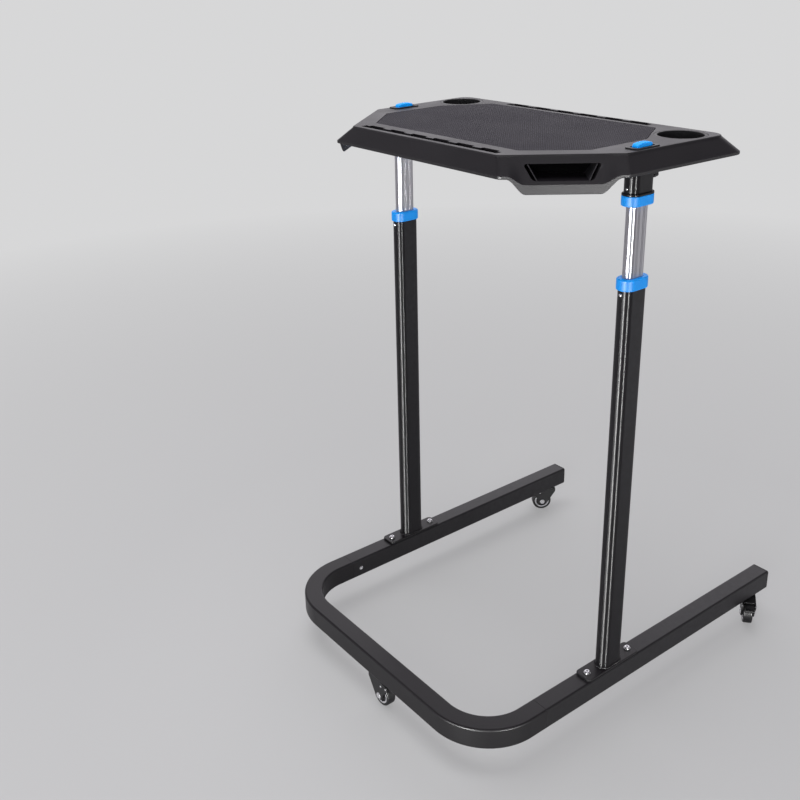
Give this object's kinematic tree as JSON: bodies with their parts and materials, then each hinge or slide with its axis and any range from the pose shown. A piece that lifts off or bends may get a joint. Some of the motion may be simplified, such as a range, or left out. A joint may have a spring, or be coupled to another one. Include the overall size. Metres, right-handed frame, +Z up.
{
  "type": "bike trainer desk",
  "caption": "Height-adjustable rolling desk for riding on a bike trainer: U-shaped tube base on casters, telescopic columns, moulded top with cup holders and handles.",
  "frame": {"origin": "on the floor, under the middle of the base", "axes": "+Z up; -Y is the closed end of the U-shaped base, +Y the open end; +X is the rider's right when facing -Y's far side, across the two columns"},
  "size_m": [0.7298, 0.88, 1.152],
  "materials": {
    "frame_black": "satin black paint",
    "cap_black": "matt black plastic",
    "silver": "silver anodised",
    "blue": "glossy blue plastic",
    "desk_black": "fine textured black plastic",
    "mat_grey": "matt dark grey sheet with fine dots",
    "dark_gloss": "glossy black plastic",
    "steel": "bright zinc plate",
    "tread": "smooth black tread"
  },
  "bodies": {
    "base": {"front_frame": "frame_black", "leg_tube_right": "frame_black", "leg_tube_left": "frame_black", "leg_spigot_right": "frame_black", "leg_spigot_left": "frame_black", "leg_screw_right": "steel", "leg_screw_left": "steel", "leg_cap_right": "cap_black", "leg_cap_left": "cap_black", "foot_plate_right": "frame_black", "foot_plate_left": "frame_black", "foot_bolt_right_front": "steel", "foot_bolt_right_rear": "steel", "foot_bolt_left_front": "steel", "foot_bolt_left_rear": "steel", "lower_column_right": "frame_black", "lower_column_left": "frame_black", "collar_screw_right": "steel", "collar_screw_left": "steel", "lower_collar_right": "blue", "lower_collar_left": "blue", "caster_mount_front": "dark_gloss", "caster_mount_right": "dark_gloss", "caster_mount_left": "dark_gloss"},
    "desk": {"slide_tube_right": "silver", "slide_tube_left": "silver", "tube_glide_right": "cap_black", "tube_glide_left": "cap_black", "socket_sleeve_right": "frame_black", "socket_sleeve_left": "frame_black", "upper_collar_right": "blue", "upper_collar_left": "blue", "column_bracket_right": "frame_black", "column_bracket_left": "frame_black", "desk_top": "desk_black", "grip_mat": "mat_grey", "cup_holder_right": "dark_gloss", "cup_holder_left": "dark_gloss", "lever_tray_right": "dark_gloss", "lever_tray_left": "dark_gloss", "lever_pin_right": "steel", "lever_pin_left": "steel"},
    "clamp_knob_right": {"clamp_knob_right": "dark_gloss"},
    "release_lever_right": {"release_lever_right": "blue"},
    "pull_rod_right": {"pull_rod_right": "steel"},
    "clamp_knob_left": {"clamp_knob_left": "dark_gloss"},
    "release_lever_left": {"release_lever_left": "blue"},
    "pull_rod_left": {"pull_rod_left": "steel"},
    "swivel_front": {"caster_fork_front": "dark_gloss", "caster_axle_front": "steel"},
    "wheel_front": {"caster_wheel_front": "tread"},
    "brake_front": {"brake_pedal_front": "dark_gloss"},
    "swivel_right": {"caster_fork_right": "dark_gloss", "caster_axle_right": "steel"},
    "wheel_right": {"caster_wheel_right": "tread"},
    "brake_right": {"brake_pedal_right": "dark_gloss"},
    "swivel_left": {"caster_fork_left": "dark_gloss", "caster_axle_left": "steel"},
    "wheel_left": {"caster_wheel_left": "tread"},
    "brake_left": {"brake_pedal_left": "dark_gloss"}
  },
  "joints": [
    {"name": "desk_height", "type": "slide", "parent": "base", "child": "desk", "axis": [0, 0, 1], "range_m": [-0.105, 0.115]},
    {"name": "lever_right_lift", "type": "hinge", "parent": "desk", "child": "release_lever_right", "pos_m": [0.315, -0.092, 1.139], "axis": [1, 0, 0], "range_deg": [0, 20], "stiffness_Nm_per_rad": 0.4},
    {"name": "pull_rod_right_travel", "type": "slide", "parent": "desk", "child": "pull_rod_right", "axis": [0, 0, 1], "range_m": [0, 0.0036], "stiffness_N_per_m": 10, "springref_m": 0.0385},
    {"name": "clamp_knob_right_turn", "type": "hinge", "parent": "desk", "child": "clamp_knob_right", "pos_m": [0.315, -0.05, 1.096], "axis": [0, 1, 0], "range_deg": [0, 360]},
    {"name": "lever_left_lift", "type": "hinge", "parent": "desk", "child": "release_lever_left", "pos_m": [-0.315, -0.092, 1.139], "axis": [1, 0, 0], "range_deg": [0, 20], "stiffness_Nm_per_rad": 0.4},
    {"name": "pull_rod_left_travel", "type": "slide", "parent": "desk", "child": "pull_rod_left", "axis": [0, 0, 1], "range_m": [0, 0.0036], "stiffness_N_per_m": 10, "springref_m": 0.0385},
    {"name": "clamp_knob_left_turn", "type": "hinge", "parent": "desk", "child": "clamp_knob_left", "pos_m": [-0.315, -0.05, 1.096], "axis": [0, 1, 0], "range_deg": [0, 360]},
    {"name": "caster_front_swivel", "type": "hinge", "parent": "base", "child": "swivel_front", "pos_m": [0, -0.42, 0.06], "axis": [0, 0, 1], "continuous": true},
    {"name": "wheel_front_roll", "type": "hinge", "parent": "swivel_front", "child": "wheel_front", "pos_m": [0.02, -0.42, 0.025], "axis": [0, 1, 0], "continuous": true},
    {"name": "brake_front_press", "type": "hinge", "parent": "swivel_front", "child": "brake_front", "pos_m": [0.043, -0.42, 0.054], "axis": [0, 1, 0], "range_deg": [0, 14]},
    {"name": "caster_right_swivel", "type": "hinge", "parent": "base", "child": "swivel_right", "pos_m": [0.315, 0.4, 0.06], "axis": [0, 0, 1], "continuous": true},
    {"name": "wheel_right_roll", "type": "hinge", "parent": "swivel_right", "child": "wheel_right", "pos_m": [0.32731, 0.38424, 0.025], "axis": [0.788, 0.6157, 0], "continuous": true},
    {"name": "brake_right_press", "type": "hinge", "parent": "swivel_right", "child": "brake_right", "pos_m": [0.34147, 0.36612, 0.054], "axis": [0.788, 0.6157, 0], "range_deg": [0, 14]},
    {"name": "caster_left_swivel", "type": "hinge", "parent": "base", "child": "swivel_left", "pos_m": [-0.315, 0.4, 0.06], "axis": [0, 0, 1], "continuous": true},
    {"name": "wheel_left_roll", "type": "hinge", "parent": "swivel_left", "child": "wheel_left", "pos_m": [-0.32618, 0.38342, 0.025], "axis": [0.829, -0.5592, 0], "continuous": true},
    {"name": "brake_left_press", "type": "hinge", "parent": "swivel_left", "child": "brake_left", "pos_m": [-0.33904, 0.36435, 0.054], "axis": [0.829, -0.5592, 0], "range_deg": [0, 14]}
  ],
  "couplings": [
    {"joint": "pull_rod_right_travel", "follows": "lever_right_lift", "m_per_rad": 0.01},
    {"joint": "pull_rod_left_travel", "follows": "lever_left_lift", "m_per_rad": 0.01}
  ]
}
